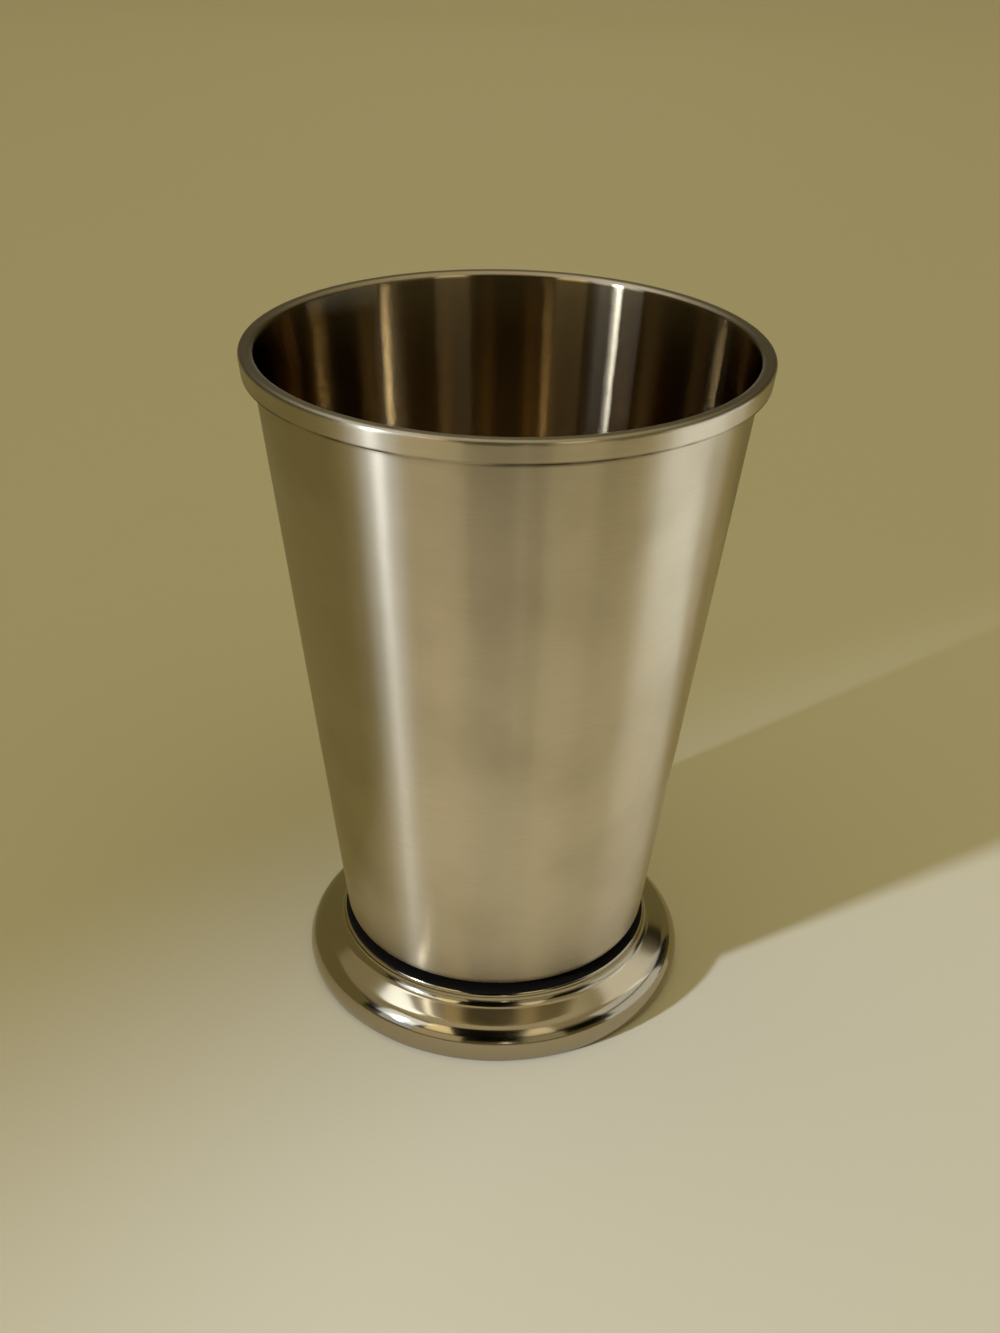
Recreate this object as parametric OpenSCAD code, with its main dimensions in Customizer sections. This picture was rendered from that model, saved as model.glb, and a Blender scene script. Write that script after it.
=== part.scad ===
// Julep cup: a tapered sheet metal tumbler with a flat-topped band at the mouth and
// a low pressed foot with an S-shaped side. Sizes are in millimetres, +Z is up,
// and the cup stands on the table at z = 0. Every piece is turned about the Z axis.

/* [Cup body] */
// Height from the table to the top of the rim
cup_h = 120; // [100:1:150]
// Outer diameter of the wall's straight line, carried up to the top of the rim
mouth_d = 82.6; // [74:0.2:96]
// Outer diameter of the wall's straight line, carried down to the floor
base_d = 55; // [48:0.2:64]
// Thickness of the cup's sheet
wall_t = 0.7; // [0.5:0.05:1.4]
// Outer radius of the corner between floor and wall
corner_r = 5; // [2.5:0.25:9]

/* [Rim band] */
// Height of the band, from its lower edge to the top of the rim
band_h = 3.8; // [3:0.1:8]
// How far the band stands out from the wall
band_t = 1.8; // [1:0.1:3]
// Radius of the two edges of the rim's flat top
rim_edge_r = 0.5; // [0.2:0.05:0.9]

/* [Foot] */
// How far the neck stands out past the wall's line at the floor
neck_step = 0.95; // [0.2:0.05:2.5]
// Height of the straight part of the neck
neck_h = 0.1; // [0:0.1:6]
// How far the foot reaches out past the neck
foot_reach = 6.65; // [5.6:0.05:12]
// Thickness of the foot's sheet
foot_t = 0.6; // [0.5:0.05:1.2]
// Inner radius of the bend between deck and neck
neck_bend_r = 0.2; // [0.1:0.05:1.5]
// Radius of the hollow curve below the neck, on the outside
cove_r = 1.9; // [1:0.1:3.5]
// Slope of the ledge between the hollow curve and the roll, in degrees
ledge_slope = 20; // [10:1:35]
// Outer radius of the roll round the foot
roll_r = 4.5; // [3:0.1:6]
// How far the roll turns in past upright before it meets the table, in degrees
roll_turn = 33; // [15:1:50]
// Width of the deck's flat ring, which the filler joins to the cup's floor
deck_w = 8.1; // [4:0.1:11]

/* [Joint under the cup] */
// Thickness of the filler between the cup's floor and the deck
braze_t = 0.15; // [0.1:0.05:0.4]

/* [Hidden] */
$fn = 144;
// Overlap that lets each curve cross the straight lines it runs into
join = 0.0005;
// Spare length for cuts and limits that pass right through
spare = 10;

// Foot, from the table upwards
neck_r = base_d / 2 + neck_step;
foot_r = neck_r + foot_reach;
bend_r = neck_bend_r + foot_t;
up_slope = [sin(ledge_slope), cos(ledge_slope)];
roll_c = [foot_r - roll_r, roll_r * sin(roll_turn)];
ledge_low = roll_c + roll_r * up_slope;
ledge_run = foot_reach - (roll_r + cove_r) * (1 - sin(ledge_slope));
ledge_high = ledge_low + ledge_run * [-1, tan(ledge_slope)];
cove_c = ledge_high + cove_r * up_slope;
bend_c = [neck_r - bend_r, cove_c.y + neck_h];
foot_h = bend_c.y + bend_r;

// Cup, from its floor upwards
floor_z = foot_h + braze_t;
wall_a = atan((mouth_d - base_d) / 2 / (cup_h - floor_z));
off_wall = [cos(wall_a), -sin(wall_a)];
function wall_r(z, inset) = base_d / 2 + (z - floor_z) * tan(wall_a) - inset / cos(wall_a);
corner_c = [wall_r(floor_z + corner_r, corner_r), floor_z + corner_r];

// Rim: one flat top over the wall and the band together, with both its edges rounded
edge_r = min(rim_edge_r, 0.9 * wall_t);
edge_z = cup_h - edge_r;
edge_in = [wall_r(edge_z, wall_t - edge_r), edge_z];
edge_out = [wall_r(edge_z, edge_r - band_t), edge_z];
band_z = cup_h - band_h;
above = cup_h + spare;

// Filler, as far out as both the cup's floor and the deck are flat, and the hole inside it
braze_r = min(corner_c.x, bend_c.x);
hole_r = braze_r - deck_w;

// All that lies inside the cup's outer face, drawn in by the inset
module cup_area(inset) {
    polygon([
        [0, floor_z + inset],
        [corner_c.x, floor_z + inset],
        corner_c + (corner_r - inset) * off_wall,
        [wall_r(above, inset), above],
        [0, above]
    ]);
    translate(corner_c) circle(r = corner_r - inset + join);
}

// All that lies under the flat top of the rim and its rounded edges
module under_rim() {
    reach = edge_out.x + spare;
    left = edge_in - reach * off_wall;
    right = edge_out + reach * off_wall;
    polygon([
        [left.x, 0],
        [right.x, 0],
        right,
        edge_out,
        [edge_out.x, cup_h],
        [edge_in.x, cup_h],
        edge_in,
        left
    ]);
    translate(edge_in) circle(r = edge_r + join);
    translate(edge_out) circle(r = edge_r + join);
}

// All that lies inside the foot's outer face, drawn in by the inset
module foot_area(inset) {
    difference() {
        union() {
            polygon([
                [0, 0],
                [roll_c.x, 0],
                roll_c,
                ledge_low - inset * up_slope,
                ledge_high - inset * up_slope,
                [neck_r - inset, cove_c.y],
                [neck_r - inset, bend_c.y],
                [bend_c.x, foot_h - inset],
                [0, foot_h - inset]
            ]);
            translate(roll_c) circle(r = roll_r - inset + join);
            translate(bend_c) circle(r = bend_r - inset + join);
        }
        translate(cove_c) circle(r = cove_r + inset + join);
        translate([0, -spare]) square([foot_r + spare, spare]);
    }
}

module cup_body() {
    color("silver") rotate_extrude() difference() {
        intersection() {
            cup_area(0);
            under_rim();
        }
        cup_area(wall_t);
    }
}

module rim_band() {
    color("gainsboro") rotate_extrude() difference() {
        intersection() {
            under_rim();
            polygon([
                [0, band_z],
                [wall_r(band_z, -band_t), band_z],
                [wall_r(above, -band_t), above],
                [0, above]
            ]);
        }
        cup_area(0);
    }
}

module foot_ring() {
    color("lightsteelblue") rotate_extrude() difference() {
        foot_area(0);
        foot_area(foot_t);
        square([hole_r, foot_h + spare]);
    }
}

module braze_ring() {
    color("goldenrod") rotate_extrude()
        translate([hole_r, foot_h]) square([deck_w, braze_t]);
}

cup_body();
rim_band();
foot_ring();
braze_ring();
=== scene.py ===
# %% [markdown]
# # A julep cup in brushed and polished steel
#
# The real cup is a tapered tumbler of thin stainless sheet. A satin band runs round its
# mouth, and it stands on a low polished foot with an S-shaped side. All of it is round, so
# every shape here is a profile turned on a lathe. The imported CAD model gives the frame: each
# new piece is drawn in the same place and stands for one CAD node.

# %% Load the frame
from math import asin, atan, cos, degrees, pi, radians, sin, tan

import bpy
from mathutils import Matrix, Vector


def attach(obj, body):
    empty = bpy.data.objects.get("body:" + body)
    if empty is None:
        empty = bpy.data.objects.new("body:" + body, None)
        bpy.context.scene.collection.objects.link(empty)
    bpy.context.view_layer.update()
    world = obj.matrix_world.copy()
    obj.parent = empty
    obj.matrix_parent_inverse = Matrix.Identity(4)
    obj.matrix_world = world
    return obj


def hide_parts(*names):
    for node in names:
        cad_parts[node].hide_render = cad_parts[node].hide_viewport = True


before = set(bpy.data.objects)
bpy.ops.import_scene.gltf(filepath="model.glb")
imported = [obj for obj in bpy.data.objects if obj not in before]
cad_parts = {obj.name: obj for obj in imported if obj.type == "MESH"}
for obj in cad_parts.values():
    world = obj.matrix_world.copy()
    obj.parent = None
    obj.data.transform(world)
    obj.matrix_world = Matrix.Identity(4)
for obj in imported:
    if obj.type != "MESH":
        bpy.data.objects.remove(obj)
bpy.context.view_layer.update()

# %% [markdown]
# ## The camera
#
# The camera stands where the picture was taken from: about 30 cm from the cup, looking down
# at it by 29 degrees. A slight roll belongs to it too, because the cup leans by a hair in
# the picture. So short a distance is what gives the strong perspective, in which the mouth
# looks so much wider than the foot. A longer lens from further off would flatten the cup.

# %% Make the camera
CAMERA_PLACE = (0.0, -0.2634, 0.2061)
CAMERA_LENS, SENSOR_SIDE = 45.84, 36.0
LOOK_DOWN, CAMERA_ROLL = radians(28.898), radians(1.382)

camera = bpy.data.objects.new("camera", bpy.data.cameras.new("camera"))
bpy.context.scene.collection.objects.link(camera)
camera.data.lens, camera.data.sensor_width = CAMERA_LENS, SENSOR_SIDE
camera.location = CAMERA_PLACE
aim = Matrix.Rotation(pi / 2 - LOOK_DOWN, 3, "X") @ Matrix.Rotation(CAMERA_ROLL, 3, "Z")
camera.rotation_euler = aim.to_euler()
bpy.context.scene.camera = camera
print("camera at", CAMERA_PLACE, "m with a lens of", CAMERA_LENS, "mm")

# %% [markdown]
# ## A pen
#
# A turner works from a profile, so the first tool is a pen that draws one. A subdivided
# cylinder could be pushed into shape instead, but its curves would only be near the real
# ones. Here a single vertex is extruded along straight lines and spun along arcs, which
# draws the profile exactly. Long straight runs are cut into short steps, so that the smooth
# shading of a curve can't leak far into the flat beside it.

# %% The pen
MM = 0.001
pen = Vector((0.0, 0.0))


def pen_down(r, z):
    """Start a profile: a small plane, merged into one vertex at radius r, height z, in mm."""
    bpy.ops.object.select_all(action="DESELECT")
    bpy.ops.mesh.primitive_plane_add(size=MM)
    bpy.ops.object.mode_set(mode="EDIT")
    bpy.ops.mesh.merge(type="CENTER")
    bpy.ops.transform.translate(value=(r * MM, 0, z * MM))
    pen[:] = (r, z)


def line_to(r, z, steps=1):
    """Draw a straight line from the pen to radius r, height z."""
    move = (Vector((r, z)) - pen) / steps * MM
    for _ in range(steps):
        bpy.ops.mesh.extrude_vertices_move(
            TRANSFORM_OT_translate={"value": (move.x, 0, move.y)})
    pen[:] = (r, z)


def arc_about(r, z, turn, steps):
    """Draw an arc about a centre; a positive turn, in radians, goes from outwards to up."""
    centre = Vector((r, z))
    bpy.ops.mesh.spin(steps=steps, angle=turn, center=(r * MM, 0, z * MM), axis=(0, 1, 0))
    pen[:] = centre + Matrix.Rotation(turn, 2) @ (pen - centre)


print("the pen draws in millimetres, each", MM, "m")

# %% [markdown]
# ## A lathe
#
# The second tool spins the whole profile once round the Z axis. The last copy lands on the
# first, and the points on the axis fall together, so doubles are merged. Only then are the
# normals turned outwards, because a shell with open seams has no clear outside.

# %% The lathe
AROUND, WELD = 320, 1e-6
SMOOTH_BELOW = radians(35)


def turn_on_lathe(name):
    """Spin the drawn profile round the Z axis, close it and shade it."""
    bpy.ops.mesh.select_all(action="SELECT")
    bpy.ops.mesh.remove_doubles(threshold=WELD)
    bpy.ops.mesh.spin(steps=AROUND, angle=2 * pi, center=(0, 0, 0), axis=(0, 0, 1))
    bpy.ops.mesh.select_all(action="SELECT")
    bpy.ops.mesh.remove_doubles(threshold=WELD)
    bpy.ops.mesh.normals_make_consistent(inside=False)
    bpy.ops.object.mode_set(mode="OBJECT")
    bpy.ops.object.shade_smooth_by_angle(angle=SMOOTH_BELOW)
    piece = bpy.context.object
    piece.name = piece.data.name = name
    print(name, "has", len(piece.data.polygons), "faces, size in mm",
          [round(side / MM, 2) for side in piece.dimensions])
    return piece


print("the lathe makes", AROUND, "steps to the turn")

# %% [markdown]
# ## The cup's wall
#
# The tumbler is drawn from one sheet: a flat floor, a rounded corner and a straight wall
# that leans out by about seven degrees. Radii on the wall all come from one function of the
# height, so whatever lies on the wall, inside it or outside it follows the same lean. Two
# unit vectors go with it: one straight out of the wall, and one up along it.

# %% Sizes of the cup
CUP_TOP, MOUTH_R, BASE_R = 120.0, 41.3, 27.5
SHEET, CORNER_R, FLOOR_Z = 0.7, 3.2, 10.4026
LEAN = atan((MOUTH_R - BASE_R) / (CUP_TOP - FLOOR_Z))
OUT, UP = Vector((cos(LEAN), -sin(LEAN))), Vector((sin(LEAN), cos(LEAN)))


def wall_r(z, inset=0.0):
    """Radius of the wall's outer face at a height, drawn in by an inset."""
    return BASE_R + (z - FLOOR_Z) * tan(LEAN) - inset / cos(LEAN)


print("the wall leans out by", round(degrees(LEAN), 2), "degrees")

# %% [markdown]
# ## The lip's inner edge
#
# At the mouth the wall's sheet and the band's sheet end in one rounded lip. Its inner edge
# is an arc wider than the wall's sheet, so the arc starts inside the cup and ends on the
# band. The point where it passes from one to the other is worked out here, so that both
# profiles meet there exactly and no gap shows.

# %% Where wall and band meet on the lip
LIP_IN_R = 1.15
LIP_IN_Z = CUP_TOP - LIP_IN_R
lip_in = Vector((wall_r(LIP_IN_Z, SHEET - LIP_IN_R), LIP_IN_Z))
lip_turn = asin(1 - SHEET / LIP_IN_R)
lip_join = lip_in + LIP_IN_R * (cos(lip_turn) * UP - sin(lip_turn) * OUT)
print("wall and band meet at radius and height", [round(side, 3) for side in lip_join], "mm")

# %% [markdown]
# ## The cup
#
# The profile runs out along the floor, round the corner and up the outside, over the lip's
# inner edge, and back down the inside at the sheet's thickness. The corner's two arcs share
# a centre, so the sheet keeps one thickness all the way. A Solidify modifier would do that
# too, but it would leave the lip square.

# %% Turn the cup
corner = Vector((wall_r(FLOOR_Z + CORNER_R, CORNER_R), FLOOR_Z + CORNER_R))

pen_down(0, FLOOR_Z)
line_to(corner.x, FLOOR_Z, steps=10)
arc_about(*corner, turn=pi / 2 - LEAN, steps=28)
line_to(*lip_join, steps=30)
arc_about(*lip_in, turn=pi / 2 - lip_turn, steps=14)
line_to(*(corner + (CORNER_R - SHEET) * OUT), steps=30)
arc_about(*corner, turn=LEAN - pi / 2, steps=28)
line_to(0, FLOOR_Z + SHEET, steps=10)
cup = turn_on_lathe("cup_shell")
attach(cup, "root")
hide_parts("cup_body")

# %% [markdown]
# ## The rim band
#
# A band sits round the mouth and stiffens the thin wall. On the real cup it would be a strip
# rolled round the mouth and dressed flush with it. Its lower edge is nearly sharp, with a
# round of 0.3 mm that catches a thin line of light. On top come a softer outer edge, a
# narrow flat, and its share of the lip's inner edge. Its inner face lies on the wall, where
# nobody sees it.

# %% Turn the rim band
BAND_OUT, BAND_LOW = 1.8, 116.2
LOW_EDGE_R, LIP_OUT_R = 0.3, 0.7
LIP_OUT_Z = CUP_TOP - LIP_OUT_R
low_turn = pi / 2 - LEAN
low_start = wall_r(BAND_LOW, -BAND_OUT) - LOW_EDGE_R * tan(low_turn / 2)
lip_out = Vector((wall_r(LIP_OUT_Z, LIP_OUT_R - BAND_OUT), LIP_OUT_Z))

pen_down(wall_r(BAND_LOW), BAND_LOW)
line_to(low_start, BAND_LOW, steps=3)
arc_about(low_start, BAND_LOW + LOW_EDGE_R, turn=low_turn, steps=8)
line_to(*(lip_out + LIP_OUT_R * OUT), steps=8)
arc_about(*lip_out, turn=pi / 2 + LEAN, steps=14)
line_to(lip_in.x, CUP_TOP, steps=4)
arc_about(*lip_in, turn=lip_turn - LEAN, steps=4)
line_to(wall_r(BAND_LOW), BAND_LOW, steps=4)
band = turn_on_lathe("rim_hoop")
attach(band, "root")
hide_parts("rim_band")

# %% [markdown]
# ## The foot
#
# The foot is one pressed ring of sheet. From the table upwards its outside rolls round, runs
# up a gentle ledge, turns through a hollow cove and a short neck, and bends in to a flat deck
# under the cup. Each curve has its centre, and each straight run touches the curves at both
# its ends, as in a press tool. The polished side shows the slightest kink, so arcs and
# tangents suit it better than a curve drawn by eye.

# %% Sizes of the foot
FOOT_SHEET, LEDGE = 0.6, radians(20)
NECK_R, FOOT_TOP, HOLE_R = 28.45, 10.2526, 14.9901
ROLL_R, COVE_R = 4.5, 1.9
roll, cove = Vector((30.6, 2.4509)), Vector((30.35, 9.3526))
bend = Vector((27.65, 9.4526))
LEDGE_UP = Vector((sin(LEDGE), cos(LEDGE)))


def roll_end(radius):
    """Angle below level at which the roll meets the table."""
    return asin(roll.y / radius)


outer_end = roll + ROLL_R * Vector((cos(roll_end(ROLL_R)), -sin(roll_end(ROLL_R))))
print("the roll meets the table at a radius of", round(outer_end.x, 2), "mm")

# %% Draw the foot's outside
pen_down(*outer_end)
arc_about(*roll, turn=roll_end(ROLL_R) + pi / 2 - LEDGE, steps=44)
line_to(*(cove - COVE_R * LEDGE_UP), steps=8)
arc_about(*cove, turn=LEDGE - pi / 2, steps=24)
line_to(NECK_R, bend.y)
arc_about(*bend, turn=pi / 2, steps=12)
line_to(HOLE_R, FOOT_TOP, steps=6)
print("the pen is at the deck's hole, radius and height", [round(side, 2) for side in pen])

# %% [markdown]
# The inside follows the same centres at the sheet's thickness, back down to the cut edge on
# which the cup stands. So the foot is hollow, as a pressing is.

# %% Draw the foot's inside and turn it
line_to(HOLE_R, FOOT_TOP - FOOT_SHEET, steps=2)
line_to(bend.x, FOOT_TOP - FOOT_SHEET, steps=6)
arc_about(*bend, turn=-pi / 2, steps=8)
line_to(NECK_R - FOOT_SHEET, cove.y)
arc_about(*cove, turn=pi / 2 - LEDGE, steps=24)
line_to(*(roll + (ROLL_R - FOOT_SHEET) * LEDGE_UP), steps=8)
arc_about(*roll, turn=LEDGE - pi / 2 - roll_end(ROLL_R - FOOT_SHEET), steps=44)
line_to(*outer_end)
foot = turn_on_lathe("foot_pressing")
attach(foot, "root")
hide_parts("foot_ring")

# %% [markdown]
# ## Wiring for the finishes
#
# A finish is a small tree of nodes. These helpers add nodes and wire them, so that the
# finishes below read as recipes. One rule stands behind `feed`: a value that is the same all
# over goes straight on the socket, and only what varies from place to place comes by a link.

# %% Helpers for node trees
def new_material(name):
    """A new node material; returns the material, its node tree and its Principled shader."""
    material = bpy.data.materials.new(name)
    material.use_nodes = True
    tree = material.node_tree
    return material, tree, tree.nodes["Principled BSDF"]


def add_node(tree, kind, **settings):
    """Add a node and set its properties by name."""
    node = tree.nodes.new(kind)
    for key, value in settings.items():
        setattr(node, key, value)
    return node


def feed(tree, node, values):
    """Give sockets their values: a link from another socket, or a plain number or colour."""
    for socket, value in values.items():
        if isinstance(value, bpy.types.NodeSocket):
            tree.links.new(value, node.inputs[socket])
        else:
            node.inputs[socket].default_value = value


print(len(bpy.data.materials), "materials before the new finishes")

# %% [markdown]
# Sums, ranges and colours come next. The range is smooth at both its ends, so that no mask
# shows an edge.

# %% Helpers for sums, ranges and colours
def number_math(tree, operation, first, second):
    """A sum or product of two numbers."""
    node = add_node(tree, "ShaderNodeMath", operation=operation)
    feed(tree, node, {0: first, 1: second})
    return node.outputs["Value"]


def vector_math(tree, operation, *vectors):
    """A vector calculation; returns the node, which has a vector and a number to give."""
    node = add_node(tree, "ShaderNodeVectorMath", operation=operation)
    feed(tree, node, dict(enumerate(vectors)))
    return node


def remap(tree, value, span, result=(0.0, 1.0)):
    """Map a span of values to another, smoothly and within its ends."""
    node = add_node(tree, "ShaderNodeMapRange", interpolation_type="SMOOTHSTEP")
    feed(tree, node, {"Value": value, "From Min": span[0], "From Max": span[1],
                      "To Min": result[0], "To Max": result[1]})
    return node.outputs["Result"]


def mix_colours(tree, factor, first, second):
    """Mix two colours, each a plain colour or a socket."""
    node = add_node(tree, "ShaderNodeMix", data_type="RGBA")
    feed(tree, node, {"Factor": factor, "A": first, "B": second})
    return node.outputs["Result"]


print("colours are red, green, blue and 1, in linear light")

# %% [markdown]
# ## Scratches that run round
#
# A fine abrasive belt was held against the turning cup, so its scratches run round and round.
# Plain noise would look like sand. So the noise is asked at a stretched place: the direction
# from the axis counts a little, and height and radius count a lot, which draws each cell of
# the noise out into a thin hoop. A UV map would do on the wall, but Object coordinates serve
# the wall, the lip and the foot alike, and they have no seam.

# %% Place, direction and noise
def object_place(tree):
    """Object coordinates, in metres from the middle of the cup's stand."""
    return add_node(tree, "ShaderNodeTexCoord").outputs["Object"]


def round_the_axis(tree, place):
    """The direction round the Z axis at each point."""
    across = vector_math(tree, "CROSS_PRODUCT", (0, 0, 1), place)
    return vector_math(tree, "NORMALIZE", across.outputs["Vector"]).outputs["Vector"]


def noise_at(tree, where, scale, detail=3.0, roughness=0.5):
    """Soft noise, with `scale` cells to each unit of the place that it is asked at."""
    node = add_node(tree, "ShaderNodeTexNoise")
    feed(tree, node, {"Vector": where, "Scale": scale, "Detail": detail,
                      "Roughness": roughness})
    return node.outputs["Fac"]


print("Object coordinates start at the middle of the cup's stand")

# %% Noise in hoops
HOOP_BREAKS = 0.6


def hoop_noise(tree, place, along, across, detail):
    """Noise drawn out into hoops: `along` cells round the cup, `across` cells a metre."""
    split = add_node(tree, "ShaderNodeSeparateXYZ")
    feed(tree, split, {"Vector": place})
    flat = add_node(tree, "ShaderNodeCombineXYZ")
    feed(tree, flat, {"X": split.outputs["X"], "Y": split.outputs["Y"]})
    radius = vector_math(tree, "LENGTH", flat.outputs["Vector"]).outputs["Value"]
    outwards = vector_math(tree, "NORMALIZE", flat.outputs["Vector"]).outputs["Vector"]
    ring = vector_math(tree, "SCALE", outwards)
    feed(tree, ring, {"Scale": along})
    climb = number_math(tree, "ADD", split.outputs["Z"], radius)
    lift = add_node(tree, "ShaderNodeCombineXYZ")
    feed(tree, lift, {"Z": number_math(tree, "MULTIPLY", climb, across)})
    where = vector_math(tree, "ADD", ring.outputs["Vector"], lift.outputs["Vector"])
    return noise_at(tree, where.outputs["Vector"], 1.0, detail, HOOP_BREAKS)


print("hoops of noise break up with a roughness of", HOOP_BREAKS)

# %% [markdown]
# ## What all brushed faces share
#
# Fine hoops are the single scratches, and broad soft noise gives the clouds that hands and
# cloths leave. Both shift the tint between a pale and a warm steel. The scratches also tilt
# the normal a little: they are far too fine to model as a shape.

# %% The brushed look
SCRATCHES_ROUND, SCRATCHES_UP, SCRATCH_DETAIL = 5.0, 5200.0, 4.0
CLOUDS = 42.0


def fine_bump(tree, height, strength, depth):
    """A normal that follows marks of some depth, in metres."""
    node = add_node(tree, "ShaderNodeBump")
    feed(tree, node, {"Strength": strength, "Distance": depth, "Height": height})
    return node.outputs["Normal"]


def brushed_look(tree, pale, warm):
    """Sockets for the colour, the clouds, the direction of brushing and the normal."""
    place = object_place(tree)
    scratches = hoop_noise(tree, place, SCRATCHES_ROUND, SCRATCHES_UP, SCRATCH_DETAIL)
    clouds = noise_at(tree, place, CLOUDS)
    paleness = number_math(tree, "MULTIPLY",
                           remap(tree, clouds, (0.3, 0.6), (0.35, 1.0)),
                           remap(tree, scratches, (0.25, 0.65), (0.7, 1.0)))
    colour = mix_colours(tree, paleness, warm, pale)
    normal = fine_bump(tree, scratches, strength=0.1, depth=0.04 * MM)
    return colour, clouds, round_the_axis(tree, place), normal


print("scratches are about", round(1 / SCRATCHES_UP / MM, 2), "mm apart")

# %% [markdown]
# ## Brushed steel for the outside, the band and the lip
#
# A brushed face mirrors sharply along its scratches and smears everything across them, which
# is why each light becomes a tall streak on the wall. The Principled shader does this with
# anisotropy: its tangent is the direction round the axis, turned by a quarter. Where clouds
# lie, the roughness moves a little too. The lip was worn by hands and mouths, so it is duller
# and has hardly any direction left; its tint is also darker than the wall's.

# %% Brushed steel
STEEL_PALE, STEEL_WARM = (0.76, 0.665, 0.51, 1), (0.61, 0.525, 0.38, 1)
LIP_PALE, LIP_WARM = (0.5, 0.435, 0.32, 1), (0.44, 0.38, 0.275, 1)
CLOUD_SHINE, QUARTER = 0.015, 0.25


def brushed_steel(name, roughness, direction, pale=STEEL_PALE, warm=STEEL_WARM):
    """Steel brushed round the cup; `direction` 0 is even, 1 smears only across scratches."""
    material, tree, shader = new_material(name)
    colour, clouds, along, normal = brushed_look(tree, pale, warm)
    rough = remap(tree, clouds, (0.3, 0.7),
                  (roughness + CLOUD_SHINE, roughness - CLOUD_SHINE))
    feed(tree, shader, {"Base Color": colour, "Metallic": 1.0, "Roughness": rough,
                        "Anisotropic": direction, "Anisotropic Rotation": QUARTER,
                        "Tangent": along, "Normal": normal})
    print(name, "has", len(tree.nodes), "nodes")
    return material


brushed = brushed_steel("brushed_steel_outside", roughness=0.295, direction=1.0)
band_steel = brushed_steel("satin_steel_band", roughness=0.3, direction=0.95)
lip_steel = brushed_steel("satin_steel_lip", roughness=0.42, direction=0.3,
                          pale=LIP_PALE, warm=LIP_WARM)

# %% [markdown]
# ## The inside
#
# Inside, the steel was turned finer and left unpolished. Its tint is darker and browner than
# the outside's: painted shade for the deep hollow, and a painted warm reflection of the room.
# In the hollow of the cup light bounces from wall to wall, and each window becomes a narrow
# streak.
# The Principled shader's highlights have long soft tails, which would turn the whole inside
# grey. A plain Glossy shader can take another spread, with short tails, so the streaks
# stay apart and the steel between them stays deep.

# %% Inside finish
# painted shade and a painted warm reflection: the inside's tint is darker and browner than the
# outside steel's
INSIDE_PALE, INSIDE_WARM = (0.51, 0.41, 0.26, 1), (0.455, 0.35, 0.205, 1)
INSIDE_ROUGHNESS, INSIDE_DIRECTION = 0.145, 0.9

satin, tree, shader = new_material("satin_steel_inside")
tree.nodes.remove(shader)
turned = add_node(tree, "ShaderNodeBsdfAnisotropic", distribution="BECKMANN")
colour, _, along, normal = brushed_look(tree, INSIDE_PALE, INSIDE_WARM)
feed(tree, turned, {"Color": colour, "Roughness": INSIDE_ROUGHNESS,
                    "Anisotropy": INSIDE_DIRECTION, "Tangent": along, "Normal": normal})
feed(tree, tree.nodes["Material Output"], {"Surface": turned.outputs["BSDF"]})
print(satin.name, "has", len(tree.nodes), "nodes")

# %% [markdown]
# ## Painted shade by height
#
# A mask of height paints shade into the steel's colour: it darkens the wall's last millimetre
# and the band's lower edge, as painted shade under the band's step. The lower part of the
# wall is a little darker too, painted shade for the shaded floor that it mirrors near the
# foot.
# Its mask starts well up the wall and would only be full far below the table, so no more than
# its faint beginning shows. Patchy noise breaks each mask up.

# %% Painted shade
# painted shade: the brown-black that the height masks mix into the steel's colour
PAINTED_SHADE = (0.05, 0.035, 0.015, 1)
FINE_PATCHES, BROAD_PATCHES = 90.0, 25.0
LOW_WALL_FROM, LOW_WALL_TO = 42.0, -45.0


def paint_shade(material, clear, dark, patches):
    """Paint shade into a material's colour from height `clear` to height `dark`, in mm, in
    soft patches.
    """
    tree = material.node_tree
    shader = tree.nodes["Principled BSDF"]
    unshaded = shader.inputs["Base Color"].links[0].from_socket
    place = object_place(tree)
    split = add_node(tree, "ShaderNodeSeparateXYZ")
    feed(tree, split, {"Vector": place})
    depth = remap(tree, split.outputs["Z"], (clear * MM, dark * MM))
    patchy = remap(tree, noise_at(tree, place, patches), (0.3, 0.6), (0.3, 1.0))
    amount = number_math(tree, "MULTIPLY", depth, patchy)
    feed(tree, shader, {"Base Color": mix_colours(tree, amount, unshaded, PAINTED_SHADE)})
    print(material.name, "darkens from", round(clear, 2), "to", round(dark, 2), "mm")


# painted shade under the band's step, on the wall's last millimetre below the band
paint_shade(brushed, clear=BAND_LOW - 1.3, dark=BAND_LOW - 0.4, patches=FINE_PATCHES)
# painted shade: the lower wall a little darker towards the foot
paint_shade(brushed, clear=LOW_WALL_FROM, dark=LOW_WALL_TO, patches=BROAD_PATCHES)
# painted shade on the band's lower edge
paint_shade(band_steel, clear=BAND_LOW + 0.6, dark=BAND_LOW + 0.15, patches=FINE_PATCHES)

# %% [markdown]
# ## Polished steel
#
# The foot was buffed to a mirror. A perfect mirror looks like glass, so the shader keeps a
# little roughness, faint rings from the buffing wheel and a few dull spots.

# %% Polished steel
FOOT_TINT = (0.44, 0.38, 0.27, 1)
RINGS_ROUND, RINGS_UP, RING_DETAIL = 3.0, 2600.0, 3.0
DULL_SPOTS = 60.0

polished, tree, shader = new_material("polished_steel_foot")
place = object_place(tree)
rings = hoop_noise(tree, place, RINGS_ROUND, RINGS_UP, RING_DETAIL)
spots = noise_at(tree, place, DULL_SPOTS)
feed(tree, shader, {"Base Color": FOOT_TINT, "Metallic": 1.0,
                    "Roughness": remap(tree, spots, (0.4, 0.75), (0.1, 0.18)),
                    "Normal": fine_bump(tree, rings, strength=0.03, depth=0.03 * MM)})
print(polished.name, "has", len(tree.nodes), "nodes")

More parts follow.
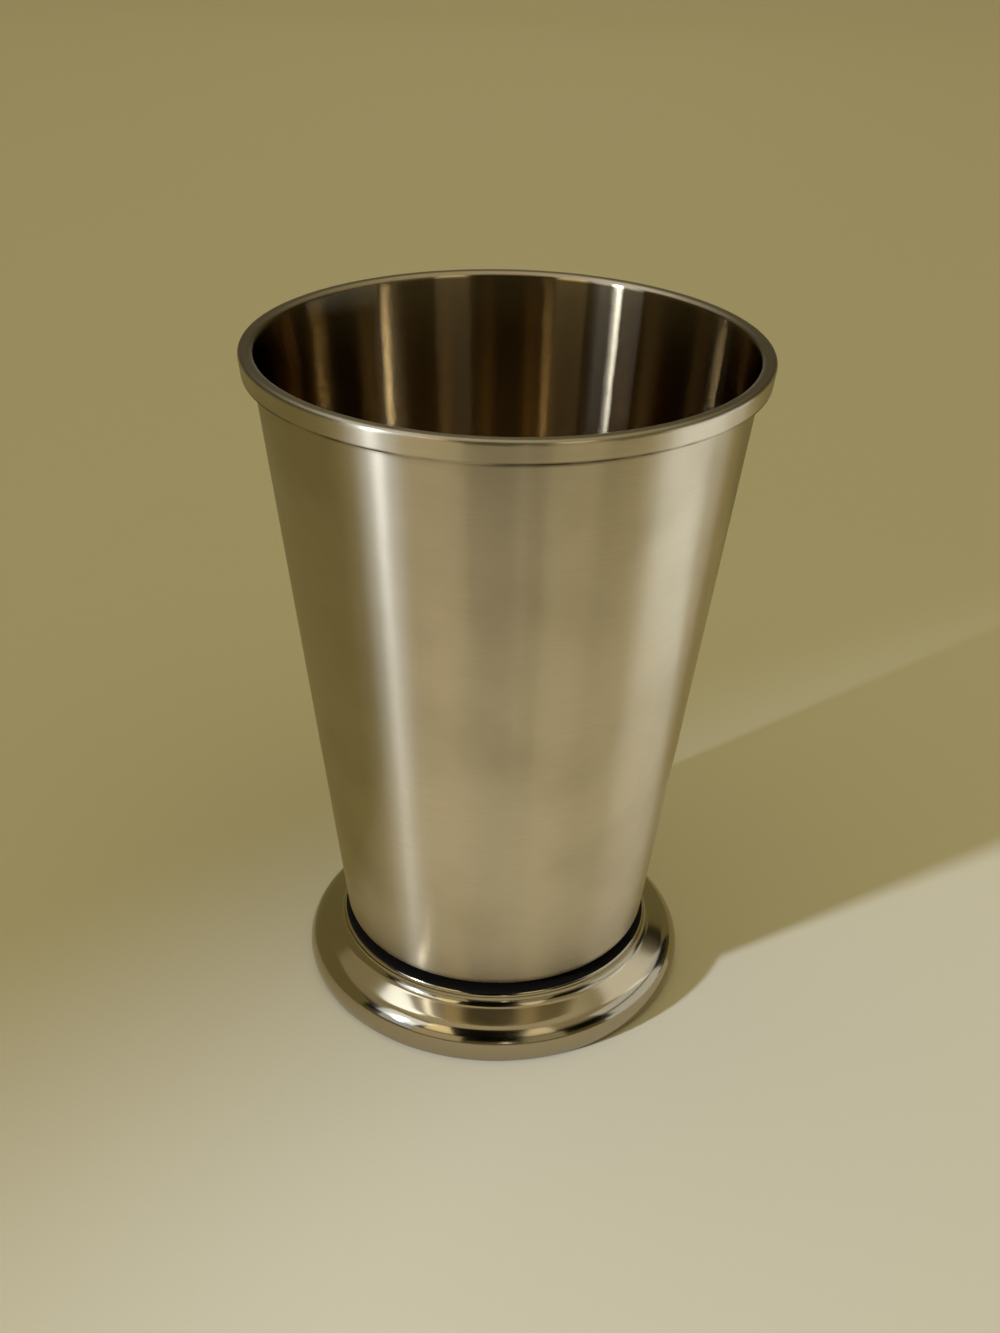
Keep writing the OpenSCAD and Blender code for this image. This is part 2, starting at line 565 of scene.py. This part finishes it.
# %% [markdown]
# ## The crevice's painted shade
#
# Between the cup and the foot's deck lies a deep groove, and its shade is painted on the deck
# and a little way round its bend. This finish is no metal: nearly black and dull, with a grain
# that only the roughness shows.

# %% Crevice
# painted shade: the near-black of the deep groove between the cup and the foot
GROOVE_SHADE_BLACK, GROOVE_SHADE_GRAIN = (0.006, 0.005, 0.004, 1), 700.0

crevice, tree, shader = new_material("crevice_painted_shade")
grain = noise_at(tree, object_place(tree), GROOVE_SHADE_GRAIN, detail=4.0)
feed(tree, shader, {"Base Color": GROOVE_SHADE_BLACK, "Specular IOR Level": 0.1,
                    "Roughness": remap(tree, grain, (0.3, 0.7), (0.7, 0.95))})
print(crevice.name, "has", len(tree.nodes), "nodes")

# %% [markdown]
# ## The filler film
#
# Between the cup's floor and the foot's deck lies a film of filler metal, which holds the
# two together. Its CAD solid has the right shape already, so it stays and only gets a finish:
# dull, warm and finely grained, as metal is that has run and set.

# %% Filler
FILLER_TINT, FILLER_GRAIN = (0.62, 0.55, 0.4, 1), 900.0

filler, tree, shader = new_material("dull_filler")
grain = noise_at(tree, object_place(tree), FILLER_GRAIN, detail=4.0)
feed(tree, shader, {"Base Color": FILLER_TINT, "Metallic": 1.0,
                    "Roughness": remap(tree, grain, (0.3, 0.7), (0.4, 0.6))})
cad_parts["braze_ring"].material_slots[0].material = filler
print(filler.name, "has", len(tree.nodes), "nodes")

# %% [markdown]
# ## Each face gets its finish
#
# One piece can carry several finishes, so each face picks its own by its place and by the way
# it faces. The lip is what looks up at the mouth. The inside is what lies further in than the
# middle of the wall's sheet. At the lower corner the outer face curves in past that line too,
# so a thin strip of it takes the darker finish, down in the crevice where all is dark. The
# crevice's black is painted shade: it covers the deck and reaches a little way round its bend,
# to where the photograph shows the dark line end.

# %% Give each piece its finish
OUTSIDE, INSIDE, LIP = range(3)
LIP_FACING, CREVICE_EDGE = 0.6, 0.25


def cup_finish(face):
    """The number of the finish that a face of the cup takes."""
    height, radius = face.center.z / MM, face.center.xy.length / MM
    if height > LIP_IN_Z and face.normal.z > LIP_FACING:
        return LIP
    within = height > FLOOR_Z + SHEET / 2 and radius < wall_r(height, SHEET / 2)
    return INSIDE if within else OUTSIDE


def dress(piece, finishes, choose):
    """Give a piece its finishes, and each face the one that `choose` names."""
    for finish in finishes:
        piece.data.materials.append(finish)
    for face in piece.data.polygons:
        face.material_index = int(choose(face))
    worn = [face.material_index for face in piece.data.polygons]
    print(piece.name, {finish.name: worn.count(number)
                       for number, finish in enumerate(finishes)})


dress(cup, (brushed, satin, lip_steel), cup_finish)
dress(band, (band_steel, lip_steel), lambda face: face.normal.z > LIP_FACING)
# painted shade: faces at the deck's height take the crevice's black
dress(foot, (polished, crevice),
      lambda face: face.center.z / MM > FOOT_TOP - CREVICE_EDGE)

# %% [markdown]
# ## The floor
#
# A plain cream floor, matt as plaster. It is wide enough to fill the picture, so no backdrop
# is needed.

# %% Floor
FLOOR_SIDE, FLOOR_CREAM = 6.0, (0.62, 0.56, 0.38, 1)

bpy.ops.object.select_all(action="DESELECT")
bpy.ops.mesh.primitive_plane_add(size=FLOOR_SIDE)
floor = bpy.context.object
floor.name = "floor"
cream, tree, shader = new_material("cream_floor")
feed(tree, shader, {"Base Color": FLOOR_CREAM, "Roughness": 0.85, "Specular IOR Level": 0.2})
floor.data.materials.append(cream)
print("the floor is", FLOOR_SIDE, "m square")

# %% [markdown]
# ## Places for lamps and cards
#
# Bright metal has hardly any colour of its own: it shows what stands round it. So the studio
# is planned from what the cup mirrors, and places are given as seen from the cup: how far
# round, how high up and how far away. A few lie level instead, near the foot.

# %% Helpers for places
CUP_MIDDLE = Vector((0, 0, 0.06))


def towards(azimuth, elevation):
    """Unit vector for a direction in degrees: azimuth 0 is the camera's side, 90 is right."""
    side, climb = radians(azimuth), radians(elevation)
    return Vector((sin(side) * cos(climb), -cos(side) * cos(climb), sin(climb)))


def facing_cup(azimuth, elevation, distance):
    """Place for a lamp or card at some distance from the cup, with its face to the cup."""
    back = towards(azimuth, elevation)
    side = Vector((0, 0, 1)).cross(back).normalized()
    turn = Matrix((side, back.cross(side), back)).transposed().to_4x4()
    return Matrix.Translation(CUP_MIDDLE + distance * back) @ turn


def lying(spot, turn=0):
    """Place for a lamp or card that lies level, turned by some degrees."""
    return Matrix.Translation(spot) @ Matrix.Rotation(radians(turn), 4, "Z")


print("lamps and cards look at", tuple(round(side, 2) for side in CUP_MIDDLE))

# %% [markdown]
# ## Panels for the metal to mirror
#
# Each tall streak on the wall is the mirror image of one soft panel: a window at the left
# with a narrow bright core, and a broad cool panel at the right. Two warm ones high in front
# keep the wall's middle from going dark. Only gloss sees these lamps, so they can be moved
# for the metal's sake and the floor stays as it is.

# %% A soft panel
def soft_panel(name, where, size, radiance, colour):
    """A soft rectangular lamp for gloss only; its power follows from radiance and area."""
    lamp = bpy.data.lights.new(name, "AREA")
    lamp.shape, lamp.size, lamp.size_y = "RECTANGLE", *size
    lamp.energy = radiance * pi * size[0] * size[1]
    lamp.color = colour
    panel = bpy.data.objects.new(name, lamp)
    bpy.context.scene.collection.objects.link(panel)
    panel.matrix_world = where
    panel.visible_camera = panel.visible_diffuse = False
    print("panel", name, "of", round(lamp.energy, 2), "W")
    return panel


# %% Panels
DAYLIGHT, COOL, WARM_WHITE = (0.72, 0.82, 1.0), (0.75, 0.87, 1.0), (1.0, 0.95, 0.8)
WARM_LEFT, WARM_RIGHT = (1.0, 0.86, 0.55), (1.0, 0.9, 0.65)
# Name; azimuth, elevation and distance; width and height in metres; radiance; colour
PANELS = (
    ("left_window", (-58, 36, 1.1), (0.44, 0.58), 1.4, DAYLIGHT),
    ("left_core", (-57, 29.5, 1.05), (0.036, 0.28), 60.0, DAYLIGHT),
    ("left_shine", (-51, 3, 0.178), (0.06, 0.096), 0.8, DAYLIGHT),
    ("left_shine_core", (-50, 9, 0.178), (0.0115, 0.06), 6.2, DAYLIGHT),
    ("left_glow", (-28, 42, 1.15), (0.44, 0.62), 1.1, WARM_LEFT),
    ("right_glow", (29, 42, 1.15), (0.34, 0.62), 0.8, WARM_RIGHT),
    ("left_top", (-119, 64, 1.1), (0.42, 0.26), 2.6, DAYLIGHT),
    ("right_panel", (88, 2, 1.1), (0.88, 0.2), 0.9, COOL),
    ("front_lamp", (8, 2, 0.5), (0.03, 0.03), 3.5, WARM_WHITE),
)
for name, where, size, radiance, colour in PANELS:
    soft_panel(name, facing_cup(*where), size, radiance, colour)

# %% [markdown]
# ## Cards
#
# Cards do the fine work: each has one even colour, casts no shadow and is seen by the metal
# alone. A black one high in front keeps the middle of the foot dark, and low pale ones give
# it the bright patches beside that. The low cards end below the height of the rim, so the
# inside of the cup never sees them.

# %% A card
BLACK = (0, 0, 0)


def mirror_card(name, where, size, colour):
    """A card of one even colour, which only the metal sees."""
    bpy.ops.object.select_all(action="DESELECT")
    bpy.ops.mesh.primitive_plane_add(size=1.0)
    card = bpy.context.object
    card.name = card.data.name = name
    card.scale = (*size, 1)
    bpy.ops.object.transform_apply(location=False, rotation=False, scale=True)
    material, tree, shader = new_material(name)
    feed(tree, shader, {"Base Color": (*BLACK, 1), "Roughness": 1.0, "Specular IOR Level": 0.0,
                        "Emission Color": (*colour, 1), "Emission Strength": 1.0})
    card.data.materials.append(material)
    card.matrix_world = where
    card.visible_camera = card.visible_shadow = card.visible_diffuse = False
    print("card", name, "of", size, "m")


# %% Cards
OLIVE, PALE_GREY = (0.2, 0.17, 0.07), (0.82, 0.83, 0.8)
# Name; azimuth, elevation and distance; width and height in metres; colour
CARDS = (
    ("front_card", (-2, 37.5, 0.6), (0.39, 0.54), BLACK),
    ("left_card", (-125, -2, 0.13), (0.34, 0.11), OLIVE),
    ("right_card", (155, 0, 0.22), (0.22, 0.12), OLIVE),
    ("left_low", (-29, 1.7, 0.25), (0.12, 0.1), (0.6, 0.52, 0.33)),
    ("front_low", (28, 1.7, 0.25), (0.1, 0.1), (0.42, 0.37, 0.23)),
    ("right_low", (89, 1.7, 0.25), (0.19, 0.1), PALE_GREY),
    ("right_high", (83, 15, 0.135), (0.1, 0.05), PALE_GREY),
    ("back_card", (180, 3, 1.2), (0.5, 0.1), (1.4, 1.3, 1.2)),
)
for name, where, size, colour in CARDS:
    mirror_card(name, facing_cup(*where), size, colour)

# %% [markdown]
# ## What lies level round the foot
#
# The wall's lower half mirrors the floor, so two cards lie on it where the metal should see
# a darker one: far in front and behind at the left. A panel on the floor at the right shines
# upwards, as a sunlit patch does, and a small one above the foot lights the pale end of its
# ledge.

# %% Level cards and panels
ABOVE_FLOOR, SHADED_SIDE = 0.002, -122
shade = 0.12 * towards(SHADED_SIDE, 0) + Vector((0, 0, ABOVE_FLOOR))
face_up = Matrix.Rotation(pi, 4, "X")

mirror_card("far_floor", lying((0, -0.68, ABOVE_FLOOR)), (1.2, 1.0), (0.06, 0.05, 0.02))
mirror_card("left_floor", lying(shade, SHADED_SIDE), (0.26, 0.16), (0.21, 0.18, 0.07))
soft_panel("right_bounce", lying((0.27, 0.0, 0.004), 102) @ face_up, (0.12, 0.27),
           0.62, (0.68, 0.83, 1.0))
soft_panel("foot_glow", lying((0.0725, 0.015, 0.05), 31), (0.076, 0.035),
           0.75, (0.92, 0.96, 1.0))

# %% [markdown]
# ## Light for the floor
#
# The floor has its own two lamps, which the metal doesn't mirror. A wide warm fill from above
# sets its level, and a cool key light from the left throws the cup's shadow to the right. The
# key is a narrow spot, so that the light on the floor fades out behind the cup.

# %% Fill and key light
FILL_SIDE, FILL_RADIANCE, FILL_COLOUR = 4.0, 0.43, (0.98, 0.92, 0.56)
KEY_POWER, KEY_COLOUR = 175.0, (0.62, 0.7, 1.0)
KEY_PLACE, KEY_AIM = 1.6 * towards(-54, 22), Vector((0.09, -0.04, 0))
KEY_CONE, KEY_FADE, KEY_RADIUS = radians(7.4), 0.2, 0.05

fill = soft_panel("fill", facing_cup(0, 89.9, 2.2), (FILL_SIDE, FILL_SIDE),
                  FILL_RADIANCE, FILL_COLOUR)
fill.visible_diffuse, fill.visible_glossy = True, False

spot = bpy.data.lights.new("key_light", "SPOT")
spot.energy, spot.color = KEY_POWER, KEY_COLOUR
spot.spot_size, spot.spot_blend = KEY_CONE, KEY_FADE
spot.shadow_soft_size = KEY_RADIUS
key = bpy.data.objects.new("key_light", spot)
bpy.context.scene.collection.objects.link(key)
key.location = KEY_PLACE
key.rotation_euler = (key.location - KEY_AIM).to_track_quat("Z", "Y").to_euler()
key.visible_camera = key.visible_glossy = False
print("fill of", round(fill.data.energy, 1), "W and key light of", KEY_POWER, "W")

# %% [markdown]
# ## The world
#
# The world fills what the panels leave open: dim walls, a little brighter in front than
# behind, and an olive ceiling. The walls stay dim because the inside of the cup mirrors
# them, and it has to stay deep.

# %% World
world = bpy.data.worlds.new("studio")
bpy.context.scene.world = world
world.use_nodes = True
tree = world.node_tree
split = add_node(tree, "ShaderNodeSeparateXYZ")
feed(tree, split, {"Vector": add_node(tree, "ShaderNodeTexCoord").outputs["Generated"]})

room = mix_colours(tree, remap(tree, split.outputs["Y"], (-0.6, 0.2)),
                   (0.14, 0.12, 0.06, 1), (0.07, 0.06, 0.02, 1))
# From height to height, as the sine of the elevation, the room passes into these colours
LAYERS = (
    ((0.1, 0.3), (0.006, 0.005, 0.002, 1)),
    ((0.5, 0.7), (0.38, 0.33, 0.19, 1)),
    ((0.82, 0.92), (0.6, 0.54, 0.36, 1)),
)
for span, colour in LAYERS:
    room = mix_colours(tree, remap(tree, split.outputs["Z"], span), room, colour)
feed(tree, tree.nodes["Background"], {"Color": room})
bpy.context.scene.view_settings.view_transform = "Standard"
print("the world has", len(LAYERS), "layers above its horizon")

# %% [markdown]
# ## Finish
#
# The last call brings the scene up to date.

# %% Finish
bpy.context.view_layer.update()
